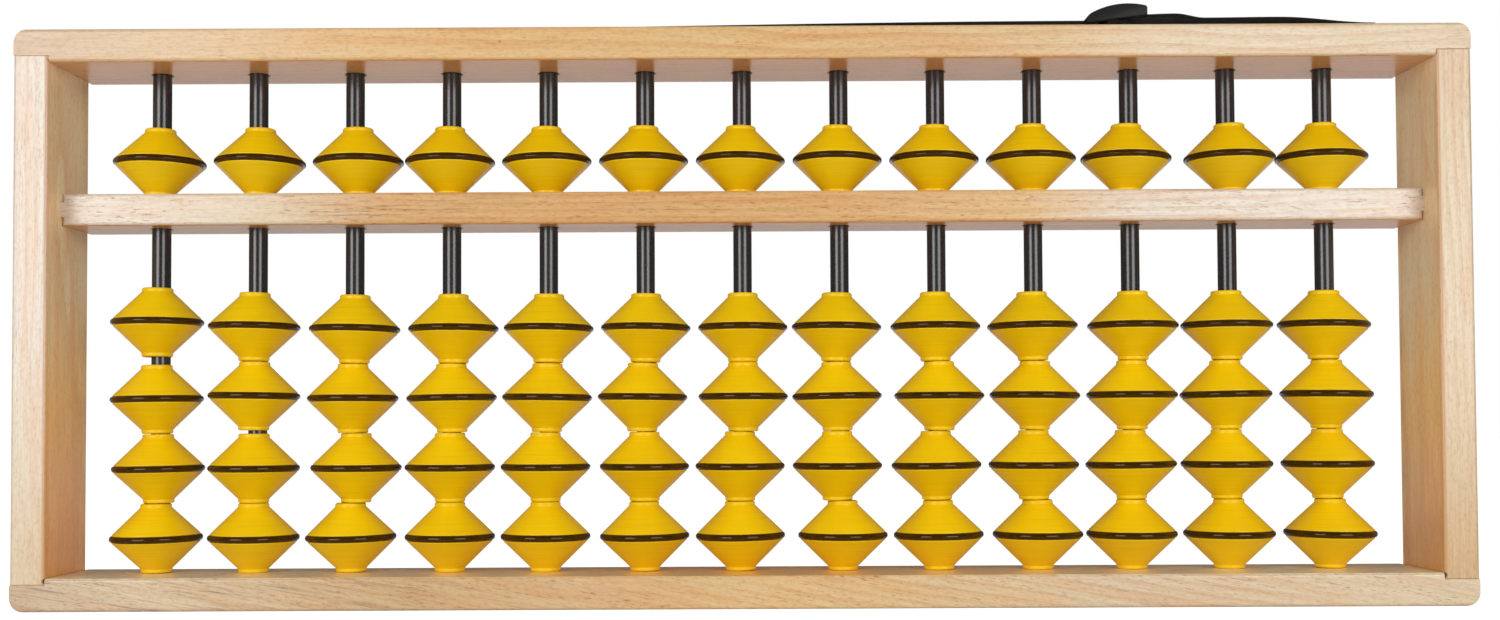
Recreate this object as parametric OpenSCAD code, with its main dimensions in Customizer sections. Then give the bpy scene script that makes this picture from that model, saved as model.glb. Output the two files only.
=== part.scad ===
// Large teaching abacus with a hanging strap: a rebated wooden frame, a dividing beam, a row of
// rods, and on each rod one upper bead and four lower beads of double-cone shape with a dark
// inlaid ring. Millimetres, +Z up, front face towards -Y, origin at the centre of the footprint.

/* [Counts] */
// Number of rods
rod_count = 13; // [9:1:13]
// Lower beads on each rod
lower_count = 4; // [3:1:4]

/* [Frame] */
// Thickness of the top and bottom rails, measured upwards
rail_h = 13.2; // [11:0.2:20]
// Width of the side stiles, seen from the front
stile_w = 14; // [11:0.5:24]
// How far the stiles stop short of the rails' back faces
stile_inset = 4; // [1:0.5:10]
// From the end rods' axes to the inner faces of the stiles
end_margin = 36; // [22:1:60]
// Radius of the frame's outer corners, seen from the front
corner_r = 5.6; // [1:0.2:9]
// Radius of the eased long edges of rails, stiles and beam
ease_r = 1.4; // [0.4:0.1:2.4]
// Depth of the rebate in each rail end that the stile sits in
rebate_h = 2.6; // [1:0.1:4]

/* [Beam] */
// Height of the dividing beam
beam_h = 13; // [8:0.5:20]
// From the frame's front face back to the beam's front face
beam_setback = 13.5; // [4:0.5:18]
// Radius of the beam's upright front edges at the stiles
beam_end_r = 2.2; // [0.5:0.1:4]

/* [Joinery] */
// Thickness of the hidden tenons
tenon_t = 6; // [4:0.5:7]
// Width of the hidden tenons, front to back
tenon_w = 22; // [12:1:26]
// Length of the hidden tenons
tenon_l = 5; // [2:0.5:6]
// Clearance around a tenon in its mortise
tenon_gap = 0.1; // [0.05:0.05:0.3]
// Chamfer round the ends of the stiles
arris = 0.4; // [0.1:0.1:0.8]

/* [Rods] */
// Diameter of the rods
rod_d = 7.6; // [5:0.1:8]
// Distance between neighbouring rods
rod_pitch = 40; // [38.5:0.5:60]
// From the frame's front face to the rods' axes
rod_set = 27.5; // [24:0.5:32]
// Depth of the blind socket in each rail that a rod end sits in
socket_h = 8; // [4:0.5:9]
// Gap between a rod's top end and its socket's floor
rod_end_gap = 0.3; // [0.1:0.1:1]
// Clearance between a rod and the wall of its hole, on the radius
rod_gap = 0.05; // [0.02:0.01:0.2]
// Chamfer at the mouth of each rod hole
mouth_bevel = 0.7; // [0.3:0.1:1.5]
// Chamfer on the rod ends
rod_bevel = 0.6; // [0.2:0.1:1.2]

/* [Beads] */
// Outer diameter of a bead over its ring
bead_d = 36.8; // [30:0.2:38]
// Height of a bead between its two flat ends
bead_h = 28.4; // [22:0.2:34]
// Diameter of the short collar at each end of a bead
collar_d = 12.4; // [12:0.2:16]
// Height of the collar
collar_h = 1.6; // [1:0.1:3]
// Radius of the collar's rim
rim_r = 0.7; // [0.2:0.1:0.9]
// Clearance between a bead's bore and the rod, on the radius
bead_gap = 1.4; // [0.3:0.1:1.6]
// Thickness of the ring round the bead's waist
ring_t = 2.3; // [1.2:0.1:4]
// How far the ring stands proud of the cones
ring_proud = 1.1; // [0.4:0.1:1.1]
// How far the ring is let into the bead
ring_seat = 1.8; // [0.8:0.1:4]
// Clearance between the ring and its groove
ring_gap = 0.04; // [0.02:0.01:0.1]
// Upright land between the ring and each cone
land_h = 0.3; // [0.1:0.1:1]
// Air between beads that rest on each other
stack_gap = 0.06; // [0.02:0.01:0.2]
// Gap between a bead's ring and the frame's back plane
back_clear = 0.1; // [0.1:0.1:3]

/* [Travel] */
// Free travel of the upper beads
upper_travel = 22.5; // [12:0.5:40]
// Free travel of the lower beads
lower_travel = 27.6; // [12:0.1:40]
// Gap left under the top lower bead of the first rod
first_gap = 3.2; // [0:0.1:8]
// Gap left under the two top lower beads of the second rod
second_gap = 1.2; // [0:0.1:8]

/* [Strap] */
// Width of the webbing
webbing_w = 15; // [10:0.5:20]
// Thickness of the webbing
webbing_t = 1.2; // [0.8:0.1:1.6]
// From the frame's front face to the webbing's front edge
strap_set = 10; // [2:0.5:14]
// From the frame's ends to the strap screws
screw_inset = 28; // [16:1:50]
// Webbing left beyond each strap screw
strap_tab = 7; // [5:0.5:15]
// Diameter of the strap screws' shanks
screw_d = 3.4; // [2:0.1:5]
// Diameter of the strap screws' heads
head_d = 8.6; // [6:0.2:12]
// Height of the strap screws' heads
head_h = 1.2; // [0.8:0.1:2.5]
// Depth of the strap screws in the rail
screw_l = 9; // [5:0.5:11]
// Slot across a screw head, wide and half as deep
drive_w = 1; // [0.6:0.1:1.6]

/* [Slider] */
// From the right strap screw to the middle of the slider
slider_run = 110.8; // [80:0.2:160]
// Length of the slider along the strap
slider_l = 24.4; // [22:0.2:30]
// Thickness of each side wall of the slider
slider_wall = 2.4; // [1.5:0.1:4]
// Clearance between the webbing's edges and the slider's side walls
slider_gap = 0.4; // [0.2:0.1:1]
// Height of the slider's crown above the rail
slider_top = 10; // [9.6:0.1:12]
// Length of the bar at each end of the slider
end_bar = 4.4; // [3:0.1:5]
// Length of the middle bar
mid_bar = 5; // [3.5:0.1:6]
// Air between the webbing and the slider's low end
low_air = 0.3; // [0.15:0.05:1]
// Rise of the slider's underside for each millimetre along it
floor_slope = 0.13; // [0:0.01:0.14]
// How far the slider's side walls reach below its bars
skirt = 1.8; // [0:0.1:2]
// From the slider's middle to the top of its arch
crown_x = 4.5; // [3:0.5:8]
// Radius of the slider's arched top
arch_r = 31; // [30:1:60]
// Radius of the slider's nose, at its low end
nose_r = 3.4; // [1:0.1:3.6]
// Radius of the slider's heel, at its high end
heel_r = 1.2; // [0.5:0.1:2]
// Length over which the long webbing climbs from the rail to the slider
climb_run = 305; // [40:5:380]
// From the tail's end to the head of the right strap screw
tail_room = 1.7; // [0.5:0.1:40]
// Length over which the tail's end comes down
tail_fall = 38; // [20:1:46]
// How much higher the tail swells just past the slider
tail_swell = 0.4; // [0:0.1:1.5]
// How much lower the tail lies past its swell
tail_sag = 1.15; // [0:0.05:1.6]

/* [Hidden] */
$fn = 96;
eps = 0.01;
// How far a cut runs past what it cuts.
past = 1;
// Air between the webbing and the slider, and how far the webbing lies below the slider's crown
// and its tail below the slider's underside.
strap_air = 0.15;
crown_drop = 0.9;
tail_drop = 0.5;
// How far the webbing rises before the slider, and the level run that it has there.
climb_rise = 2.6;
run_in = 3;
// The runs past the slider, to the top of the tail's swell and down to where it lies level,
// and the length that its end lies flat on the short webbing.
run_out = 12;
run_down = 9;
tail_rest = 6;
// How far inside a bar's edge the webbing starts to turn.
turn_in = 0.2;
// The screw heads' tops and slots, as shares of their width.
head_taper = 0.6;
slot_share = 0.5;
numbers = [for (n = [1 : rod_count]) n];

// Overall sizes that follow from the beads, the rods and the travel.
inner_w = (rod_count - 1) * rod_pitch + 2 * end_margin;
frame_w = inner_w + 2 * stile_w;
frame_d = rod_set + bead_d / 2 + back_clear;
front_y = -frame_d / 2;
bead_pitch = bead_h + stack_gap;
beam_z = rail_h + lower_count * bead_pitch - stack_gap + lower_travel;
upper_z = beam_z + beam_h;
frame_h = upper_z + bead_h + upper_travel + rail_h;
stile_d = frame_d - stile_inset;
stile_y = front_y + stile_d / 2;
beam_d = frame_d - beam_setback;
beam_y = front_y + beam_setback + beam_d / 2;
tenon_y = stile_y + beam_setback / 4;
rod_y = front_y + rod_set;
strap_y = front_y + strap_set + webbing_w / 2;
screw_x = frame_w / 2 - screw_inset;
slider_x = screw_x - slider_run;
tail_l = slider_run - head_d / 2 - tail_room;

wood = [0.87, 0.72, 0.52];
charcoal = [0.16, 0.14, 0.15];
yellow = [0.93, 0.74, 0.06];
black = [0.1, 0.08, 0.07];
steel = [0.75, 0.76, 0.78];

function numbered(name, n) = str(name, n < 10 ? "_0" : "_", n);
function rod_x(n) = (n - 1 - (rod_count - 1) / 2) * rod_pitch;
function rest_gap(n) = n == 1 ? first_gap : n == 2 ? second_gap : 0;
// The lower beads of a rod move as two groups, and the split steps along the rods.
function top_beads(n) = 1 + (n - 1) % (lower_count - 1);

// ---- Frame ----

// A rectangle centred on the origin, with its four corners rounded.
module rounded_rect(size, r) {
    square([size.x, size.y - 2 * r], center = true);
    square([size.x - 2 * r, size.y], center = true);
    for (x = [-1, 1], y = [-1, 1])
        translate([x * (size.x / 2 - r), y * (size.y / 2 - r)]) circle(r);
}

// The outline of a rail from the front: square inside, rounded at its two outer corners.
module rail_outline() {
    translate([-frame_w / 2, corner_r]) square([frame_w, rail_h - corner_r]);
    translate([corner_r - frame_w / 2, 0]) square([frame_w - 2 * corner_r, rail_h]);
    for (x = [-1, 1])
        translate([x * (frame_w / 2 - corner_r), corner_r]) circle(corner_r);
}

// A hole for a rod, up from z = 0, with a chamfered mouth at each end that is asked for.
module rod_hole(length, mouths) {
    cylinder(r = rod_d / 2 + rod_gap, h = length);
    for (z = mouths)
        translate([0, 0, z])
            cylinder(
                r1 = rod_d / 2 + rod_gap + (z == 0 ? mouth_bevel + eps : 0),
                r2 = rod_d / 2 + rod_gap + (z == 0 ? 0 : mouth_bevel + eps),
                h = mouth_bevel + eps
            );
}

module tenon(gap = 0) {
    translate([0, tenon_y, 0])
        cube([tenon_t + 2 * gap, tenon_w + 2 * gap, 2 * (tenon_l + gap)], center = true);
}

// The bottom rail in its place. The top rail is the same piece upside down.
module rail() {
    difference() {
        intersection() {
            rotate([90, 0, 0]) linear_extrude(frame_d, center = true) rail_outline();
            translate([0, 0, rail_h / 2])
                rotate([90, 0, 90]) linear_extrude(frame_w, center = true)
                    rounded_rect([frame_d, rail_h], ease_r);
        }
        for (x = [-1, 1])
            translate([x * (frame_w - stile_w) / 2, 0, rail_h - rebate_h]) {
                translate([0, 0, rebate_h])
                    cube([stile_w, frame_d + 2 * past, 2 * rebate_h], center = true);
                tenon(tenon_gap);
            }
        for (n = numbers)
            translate([rod_x(n), rod_y, rail_h - socket_h])
                rod_hole(socket_h + eps, [socket_h - mouth_bevel]);
    }
}

module bottom_rail() {
    color(wood) rail();
}

module top_rail() {
    color(wood) difference() {
        translate([0, 0, frame_h]) mirror([0, 0, 1]) rail();
        for (x = [-1, 1])
            translate([x * screw_x, strap_y, frame_h - screw_l])
                cylinder(d = screw_d, h = screw_l + eps);
    }
}

// A length of timber standing on z = 0, with chamfered ends. across is its width or its depth.
module timber_side(across, length) {
    polygon([
        [arris - across / 2, 0], [across / 2 - arris, 0],
        [across / 2, arris], [across / 2, length - arris],
        [across / 2 - arris, length], [arris - across / 2, length],
        [-across / 2, length - arris], [-across / 2, arris]
    ]);
}

// side is -1 for the left stile and 1 for the right one.
module stile(side) {
    low = rail_h - rebate_h;
    high = frame_h - low;
    color(wood) translate([side * (frame_w - stile_w) / 2, 0, 0]) difference() {
        union() {
            translate([0, stile_y, low]) intersection() {
                linear_extrude(high - low) rounded_rect([stile_w, stile_d], ease_r);
                rotate([90, 0, 0]) linear_extrude(stile_d, center = true)
                    timber_side(stile_w, high - low);
                rotate([90, 0, 90]) linear_extrude(stile_w, center = true)
                    timber_side(stile_d, high - low);
            }
            for (z = [low, high])
                translate([0, 0, z]) tenon();
        }
        translate([-side * stile_w / 2, 0, beam_z + beam_h / 2])
            rotate([0, 90, 0]) tenon(tenon_gap);
    }
}

module left_stile() {
    stile(-1);
}

module right_stile() {
    stile(1);
}

module beam() {
    color(wood) difference() {
        union() {
            intersection() {
                translate([0, beam_y, beam_z + beam_h / 2])
                    rotate([90, 0, 90]) linear_extrude(inner_w, center = true)
                        rounded_rect([beam_d, beam_h], ease_r);
                translate([0, beam_y, beam_z]) linear_extrude(beam_h) beam_plan();
            }
            for (x = [-1, 1])
                translate([x * inner_w / 2, 0, beam_z + beam_h / 2])
                    rotate([0, 90, 0]) tenon();
        }
        for (n = numbers)
            translate([rod_x(n), rod_y, beam_z - eps])
                rod_hole(beam_h + 2 * eps, [0, beam_h + eps - mouth_bevel]);
    }
}

// The beam from above: its two front corners are rounded where they meet the stiles.
module beam_plan() {
    translate([-inner_w / 2, beam_end_r - beam_d / 2]) square([inner_w, beam_d - beam_end_r]);
    translate([beam_end_r - inner_w / 2, -beam_d / 2]) square([inner_w - 2 * beam_end_r, beam_d]);
    for (x = [-1, 1])
        translate([x * (inner_w / 2 - beam_end_r), beam_end_r - beam_d / 2]) circle(beam_end_r);
}

// ---- Rods and beads ----

module rod(n) {
    length = frame_h - 2 * (rail_h - socket_h) - rod_end_gap;
    color(charcoal) translate([rod_x(n), rod_y, rail_h - socket_h]) {
        cylinder(d1 = rod_d - 2 * rod_bevel, d2 = rod_d, h = rod_bevel);
        translate([0, 0, rod_bevel]) cylinder(d = rod_d, h = length - 2 * rod_bevel);
        translate([0, 0, length - rod_bevel])
            cylinder(d1 = rod_d, d2 = rod_d - 2 * rod_bevel, h = rod_bevel);
    }
}

// Half of the section of a bead's body: bore, collars, cones, and the groove for the ring.
module bead_section() {
    bore_r = rod_d / 2 + bead_gap;
    collar_r = collar_d / 2;
    waist_r = bead_d / 2 - ring_proud;
    groove_r = waist_r - ring_seat;
    neck_z = bead_h / 2 - collar_h;
    cone_z = ring_t / 2 + land_h;
    rim_z = bead_h / 2 - rim_r;
    polygon([
        [bore_r, -bead_h / 2], [collar_r - rim_r, -bead_h / 2], [collar_r, -rim_z],
        [collar_r, -neck_z], [waist_r, -cone_z], [waist_r, -ring_t / 2],
        [groove_r, -ring_t / 2], [groove_r, ring_t / 2],
        [waist_r, ring_t / 2], [waist_r, cone_z], [collar_r, neck_z],
        [collar_r, rim_z], [collar_r - rim_r, bead_h / 2], [bore_r, bead_h / 2]
    ]);
    for (z = [-rim_z, rim_z])
        translate([collar_r - rim_r, z]) circle(rim_r);
}

// Half of the section of the ring: square in its groove and half-round outside.
module ring_section() {
    inner_r = bead_d / 2 - ring_proud - ring_seat + ring_gap;
    half_t = ring_t / 2 - ring_gap;
    crown_r = bead_d / 2 - half_t;
    translate([inner_r, -half_t]) square([crown_r - inner_r, 2 * half_t]);
    translate([crown_r, 0]) circle(half_t);
}

// A bead with its middle at height z on rod n.
module bead(n, z) {
    translate([rod_x(n), rod_y, z]) {
        color(yellow) rotate_extrude() bead_section();
        color(black) rotate_extrude() ring_section();
    }
}

module upper_bead(n) {
    bead(n, upper_z + bead_h / 2);
}

// Lower beads from number first to number last, counted up from the bottom rail.
module lower_beads(n, first, last, lift) {
    for (k = [first : last])
        bead(n, rail_h + bead_h / 2 + (k - 1) * bead_pitch + lift);
}

module lower_beads_top(n) {
    lower_beads(n, lower_count - top_beads(n) + 1, lower_count, rest_gap(n));
}

module lower_beads_bottom(n) {
    lower_beads(n, 1, lower_count - top_beads(n), 0);
}

// ---- Hanging strap ----

// Knots of each webbing's middle line, as distance from the slider and height on the rail.
// The long webbing climbs to the slider, weaves over its middle bar and folds back as a tail.
climb = webbing_t / 2 + climb_rise;
over_bar = slider_top - webbing_t / 2 - crown_drop;
under_bar = slider_floor(slider_l / 2 - end_bar) - webbing_t / 2 - tail_drop;
tail_end = webbing_t * 1.5 + strap_air;
long_knots = [
    [-screw_x - strap_tab - slider_x, webbing_t / 2],
    [-climb_run - slider_l, webbing_t / 2],
    [-slider_l / 2 - run_in, climb],
    [end_bar - slider_l / 2 - turn_in, climb],
    [-mid_bar / 2, over_bar],
    [mid_bar / 2 - turn_in, over_bar],
    [slider_l / 2 - end_bar, under_bar],
    [slider_l / 2 + run_out, under_bar + tail_swell],
    [slider_l / 2 + run_out + run_down, under_bar - tail_sag],
    [tail_l - tail_fall, under_bar - tail_sag],
    [tail_l - tail_rest, tail_end],
    [tail_l, tail_end]
];
// The short webbing starts under the middle bar, drops to the rail and runs to its screw.
short_z = slider_floor(-mid_bar / 2) - webbing_t / 2 - strap_air;
short_knots = [
    [turn_in - mid_bar / 2, short_z],
    [mid_bar / 2 - turn_in, short_z],
    [slider_l / 2 - end_bar + turn_in, webbing_t / 2],
    [slider_run + strap_tab, webbing_t / 2]
];

// Height of the undersides of the slider's bars, at a distance from its middle.
function slider_floor(x) = climb + webbing_t / 2 + low_air + (x + slider_l / 2) * floor_slope;

// Height of the middle of a rounding of radius r under the slider's arch, at a distance from
// the slider's middle, and how far along the arch that rounding begins.
function round_z(x, r) =
    slider_top - arch_r + sqrt(pow(arch_r - r, 2) - pow(x - crown_x, 2));
function round_start(x, r) = crown_x + (x - crown_x) * arch_r / (arch_r - r);

// A line through the knots, level at each one and smooth between them.
function eased_line(knots, steps = 10) = [
    for (i = [0 : len(knots) - 2], s = [0 : steps - 1])
        let (a = knots[i], b = knots[i + 1], t = s / steps)
            [a.x + (b.x - a.x) * t, a.y + (b.y - a.y) * (1 - cos(180 * t)) / 2],
    knots[len(knots) - 1]
];

// Unit normal of a line at its point i, from the points on either side.
function normal(line, i) =
    let (
        a = line[max(i - 1, 0)],
        b = line[min(i + 1, len(line) - 1)],
        d = (b - a) / norm(b - a)
    ) [-d.y, d.x];

module webbing(knots) {
    line = eased_line(knots);
    last = len(line) - 1;
    upper = [for (i = [0 : last]) line[i] + normal(line, i) * webbing_t / 2];
    lower = [for (i = [last : -1 : 0]) line[i] - normal(line, i) * webbing_t / 2];
    translate([slider_x, strap_y, frame_h])
        rotate([90, 0, 0]) linear_extrude(webbing_w, center = true)
            polygon(concat(upper, lower));
}

module hanging_strap() {
    color(black) difference() {
        union() {
            webbing(long_knots);
            webbing(short_knots);
        }
        for (x = [-1, 1])
            translate([x * screw_x, strap_y, frame_h - past])
                cylinder(d = screw_d, h = webbing_t + 2 * past);
    }
}

// The slider from the side: arched above, rounded at its nose and heel, sloping beneath.
module slider_side() {
    half = slider_l / 2;
    nose_x = nose_r - half;
    heel_x = half - heel_r;
    nose_start = round_start(nose_x, nose_r);
    heel_start = round_start(heel_x, heel_r);
    difference() {
        union() {
            intersection() {
                translate([crown_x, slider_top - arch_r]) circle(arch_r);
                translate([nose_start, 0]) square([heel_start - nose_start, slider_top + past]);
            }
            translate([-half, 0]) square([half + nose_start, round_z(nose_x, nose_r)]);
            translate([heel_start, 0]) square([half - heel_start, round_z(heel_x, heel_r)]);
            translate([nose_x, round_z(nose_x, nose_r)]) circle(nose_r);
            translate([heel_x, round_z(heel_x, heel_r)]) circle(heel_r);
        }
        under_slider(skirt);
    }
}

// What lies under the slider, down from a slope that runs a drop below its bars' undersides.
module under_slider(drop) {
    reach = slider_l / 2 + past;
    polygon([
        [-reach, -past], [reach, -past],
        [reach, slider_floor(reach) - drop], [-reach, slider_floor(-reach) - drop]
    ]);
}

module strap_slider() {
    slot_w = webbing_w + 2 * slider_gap;
    slot_l = (slider_l - mid_bar) / 2 - end_bar;
    bar_top = over_bar - webbing_t / 2 - strap_air;
    color(black) translate([slider_x, strap_y, frame_h]) difference() {
        rotate([90, 0, 0]) linear_extrude(slot_w + 2 * slider_wall, center = true) slider_side();
        rotate([90, 0, 0]) linear_extrude(slot_w, center = true) under_slider(0);
        for (x = [-1, 1])
            translate([x * (mid_bar + slot_l) / 2, 0, slider_top / 2])
                cube([slot_l, slot_w, 2 * slider_top], center = true);
        translate([0, 0, bar_top + slider_top / 2])
            cube([mid_bar + slot_l, slot_w, slider_top], center = true);
    }
}

module strap_screw() {
    difference() {
        union() {
            translate([0, 0, -screw_l]) cylinder(d = screw_d, h = screw_l + webbing_t + eps);
            translate([0, 0, webbing_t]) cylinder(d = head_d, h = head_h / 2);
            translate([0, 0, webbing_t + head_h / 2])
                cylinder(d1 = head_d, d2 = head_d * head_taper, h = head_h / 2);
        }
        for (a = [0, 90])
            translate([0, 0, webbing_t + head_h]) rotate([0, 0, a])
                cube([head_d * slot_share, drive_w, drive_w], center = true);
    }
}

module strap_screws() {
    color(steel) for (x = [-1, 1])
        translate([x * screw_x, strap_y, frame_h]) strap_screw();
}

// ---- The abacus ----

top_rail();
bottom_rail();
left_stile();
right_stile();
beam();
for (n = numbers) {
    rod(n);
    upper_bead(n);
    lower_beads_top(n);
    lower_beads_bottom(n);
}
hanging_strap();
strap_slider();
strap_screws();
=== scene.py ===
"""A large classroom abacus: a lacquered pine frame with a dividing beam, thirteen dark rods,
yellow double-cone beads with black rings, and a webbing strap with a slider along the top."""

import math

import bmesh
import bpy
from mathutils import Matrix, Vector


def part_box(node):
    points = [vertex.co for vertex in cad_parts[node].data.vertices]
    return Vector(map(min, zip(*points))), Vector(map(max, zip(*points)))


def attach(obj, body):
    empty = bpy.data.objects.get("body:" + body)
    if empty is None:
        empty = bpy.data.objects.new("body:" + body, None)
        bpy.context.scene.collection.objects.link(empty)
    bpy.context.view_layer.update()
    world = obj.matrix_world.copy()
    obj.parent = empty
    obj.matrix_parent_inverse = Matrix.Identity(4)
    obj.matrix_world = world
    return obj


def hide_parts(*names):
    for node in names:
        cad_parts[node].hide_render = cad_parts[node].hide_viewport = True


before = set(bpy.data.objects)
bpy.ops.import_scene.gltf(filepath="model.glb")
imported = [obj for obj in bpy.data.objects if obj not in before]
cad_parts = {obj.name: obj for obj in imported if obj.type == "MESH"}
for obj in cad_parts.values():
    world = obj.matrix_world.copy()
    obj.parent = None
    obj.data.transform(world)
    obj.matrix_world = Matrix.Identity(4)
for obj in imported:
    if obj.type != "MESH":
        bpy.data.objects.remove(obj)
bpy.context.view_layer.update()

MM = 0.001
# The axes by number: across the front, into the depth, and up.
ACROSS, DEEP, UP = range(3)


# ---- Node trees written as expressions ----

class Value:
    """A socket of a node tree. Sums, products and powers of values add their Math nodes."""

    def __init__(self, net, socket):
        self.net = net
        self.socket = socket

    def __add__(self, other):
        return self.net.math("ADD", self, other)

    def __radd__(self, other):
        return self.net.math("ADD", other, self)

    def __sub__(self, other):
        return self.net.math("SUBTRACT", self, other)

    def __rsub__(self, other):
        return self.net.math("SUBTRACT", other, self)

    def __mul__(self, other):
        return self.net.math("MULTIPLY", self, other)

    def __rmul__(self, other):
        return self.net.math("MULTIPLY", other, self)

    def __truediv__(self, other):
        return self.net.math("DIVIDE", self, other)

    def __rtruediv__(self, other):
        return self.net.math("DIVIDE", other, self)

    def __pow__(self, other):
        return self.net.math("POWER", self, other)


class Net:
    """A node tree of a material, of the world or of Geometry Nodes."""

    def __init__(self, tree):
        self.tree = tree

    def add(self, kind, settings=None, inputs=None, output=0):
        """One node. Its settings are made first, then its sockets get their values or links."""
        node = self.tree.nodes.new(kind)
        for name, value in (settings or {}).items():
            setattr(node, name, value)
        for key, value in (inputs or {}).items():
            if isinstance(value, Value):
                self.tree.links.new(value.socket, node.inputs[key])
            else:
                node.inputs[key].default_value = value
        return Value(self, node.outputs[output]) if node.outputs else None

    def math(self, operation, *values):
        return self.add("ShaderNodeMath", {"operation": operation}, dict(enumerate(values)))

    def vector(self, operation, *values):
        settings = {"operation": operation}
        return self.add("ShaderNodeVectorMath", settings, dict(enumerate(values)))

    def split(self, vector):
        """The three parts of a vector, as values."""
        node = self.add("ShaderNodeSeparateXYZ", {}, {"Vector": vector}).socket.node
        return [Value(self, socket) for socket in node.outputs]

    def join(self, x, y, z):
        return self.add("ShaderNodeCombineXYZ", {}, {"X": x, "Y": y, "Z": z})

    def step(self, value, low, high):
        """0 up to low, 1 from high, and smooth between. With low above high it falls."""
        return self.add(
            "ShaderNodeMapRange",
            {"interpolation_type": "SMOOTHSTEP"},
            {"Value": value, "From Min": low, "From Max": high},
        )

    def noise(self, place, stretch, detail=2.0, roughness=0.5):
        """Cloudy noise from 0 to 1, with stretch as cells for each unit along x, y and z."""
        return self.add(
            "ShaderNodeTexNoise",
            {},
            {
                "Vector": self.vector("MULTIPLY", place, stretch),
                "Scale": 1.0,
                "Detail": detail,
                "Roughness": roughness,
            },
        )

    def ramp(self, value, stops):
        """A colour that runs through stops, each a value and its colour on a screen."""
        first, last = stops[0][0], stops[-1][0]
        share = (value - first) / (last - first)
        node = self.tree.nodes.new("ShaderNodeValToRGB")
        self.tree.links.new(share.socket, node.inputs[0])
        elements = node.color_ramp.elements
        for element, (_, colour) in zip(elements, (stops[0], stops[-1])):
            element.color = paint(*colour)
        for at, colour in stops[1:-1]:
            elements.new((at - first) / (last - first)).color = paint(*colour)
        return Value(self, node.outputs[0])

    def blend(self, amount, under, over, how="MIX"):
        """A colour mixed from under to over as amount goes from 0 to 1."""
        settings = {"data_type": "RGBA", "blend_type": how}
        return self.add("ShaderNodeMix", settings, {0: amount, 6: under, 7: over}, 2)

    def object_place(self, turn=(0, 0, 0), shift=(0, 0, 0)):
        """Object coordinates in millimetres, turned and then shifted."""
        coordinates = self.add("ShaderNodeTexCoord", output="Object")
        return self.add(
            "ShaderNodeMapping",
            {"vector_type": "POINT"},
            {"Vector": coordinates, "Scale": (1 / MM,) * 3, "Rotation": turn, "Location": shift},
        )

    def bump(self, height, strength, distance):
        inputs = {"Height": height, "Strength": strength, "Distance": distance}
        return self.add("ShaderNodeBump", {}, inputs)

    def surface(self, sockets):
        """The material's finish, as one Principled shader."""
        shader = self.add("ShaderNodeBsdfPrincipled", {}, sockets)
        self.add("ShaderNodeOutputMaterial", {}, {"Surface": shader})

    def pick(self, kind, choices):
        """Of several values, the one that the point's index points at."""
        node = self.tree.nodes.new("GeometryNodeIndexSwitch")
        node.data_type = kind
        while len(node.index_switch_items) < len(choices):
            node.index_switch_items.new()
        index = self.tree.nodes.new("GeometryNodeInputIndex")
        self.tree.links.new(index.outputs[0], node.inputs[0])
        for socket, choice in zip(node.inputs[1:], choices):
            self.tree.links.new(choice.socket, socket)
        return Value(self, node.outputs[0])

    def take(self, sockets):
        """Named inputs of a Geometry Nodes tree, as values, given as name and kind."""
        for name, kind in sockets.items():
            self.tree.interface.new_socket(name, in_out="INPUT", socket_type="NodeSocket" + kind)
        group = self.tree.nodes.new("NodeGroupInput")
        return {name: Value(self, group.outputs[name]) for name in sockets}

    def give(self, geometry):
        """The geometry that a Geometry Nodes tree hands over."""
        self.tree.interface.new_socket(
            "Geometry", in_out="OUTPUT", socket_type="NodeSocketGeometry"
        )
        group = self.tree.nodes.new("NodeGroupOutput")
        self.tree.links.new(geometry.socket, group.inputs["Geometry"])


def paint(red, green, blue):
    """A colour written as it shows on a screen, from 0 to 255, as the shader's linear colour."""
    shares = [value / 255 for value in (red, green, blue)]
    linear = [s / 12.92 if s <= 0.04045 else ((s + 0.055) / 1.055) ** 2.4 for s in shares]
    return (*linear, 1.0)


def new_material(name):
    material = bpy.data.materials.new(name)
    material.use_nodes = True
    material.node_tree.nodes.clear()
    return material, Net(material.node_tree)


def link(obj):
    bpy.context.scene.collection.objects.link(obj)
    return obj


# ---- Camera, light and floor ----

# The camera: where it stands, its turns in radians, its lens and sensor in millimetres, and how
# its picture is shifted, as shares of the sensor's width.
CAMERA_PLACE = Vector((-2.2, -680.4, 71.7)) * MM
CAMERA_TILT = 0.02976
CAMERA_ROLL = 0.00456
CAMERA_YAW = 0.00119
LENS = 39.9
SENSOR = 36
LENS_SHIFT = (0.0095, 0.0453)
# The light from all round, how bright gloss sees the room in front and behind, and where the one
# turns into the other, as the depth part of a direction.
AMBIENT = 0.42
FRONT_GLOSS = 0.04
BACK_GLOSS = 0.1
BEHIND = (-0.1, 0.4)
# The floor's grey and glow, how bright gloss sees it near and in a far band, where that band
# starts and ends and how far the floor reaches in metres, and its gap to the object in millimetres.
FLOOR_TONE = 0.62
FLOOR_GLOW = 0.8
FLOOR_GLOSS = (0.08, 0.7)
FLOOR_BAND_START = (0.4, 0.8)
FLOOR_BAND_END = (2.6, 1.8)
FLOOR_REACH = 6.0
FLOOR_GAP = 0.05
# The softboxes: their size, and the name, watts, place and aim of each, in metres.
SOFTBOX_SIZE = (0.65, 0.75)
SOFTBOXES = (
    ("softbox_left", 8.0, (-0.83, -1.10, 0.32), (-0.05, 0, 0.12)),
    ("softbox_right", 7.0, (0.70, -1.10, 0.32), (0.05, 0, 0.12)),
)


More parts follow.
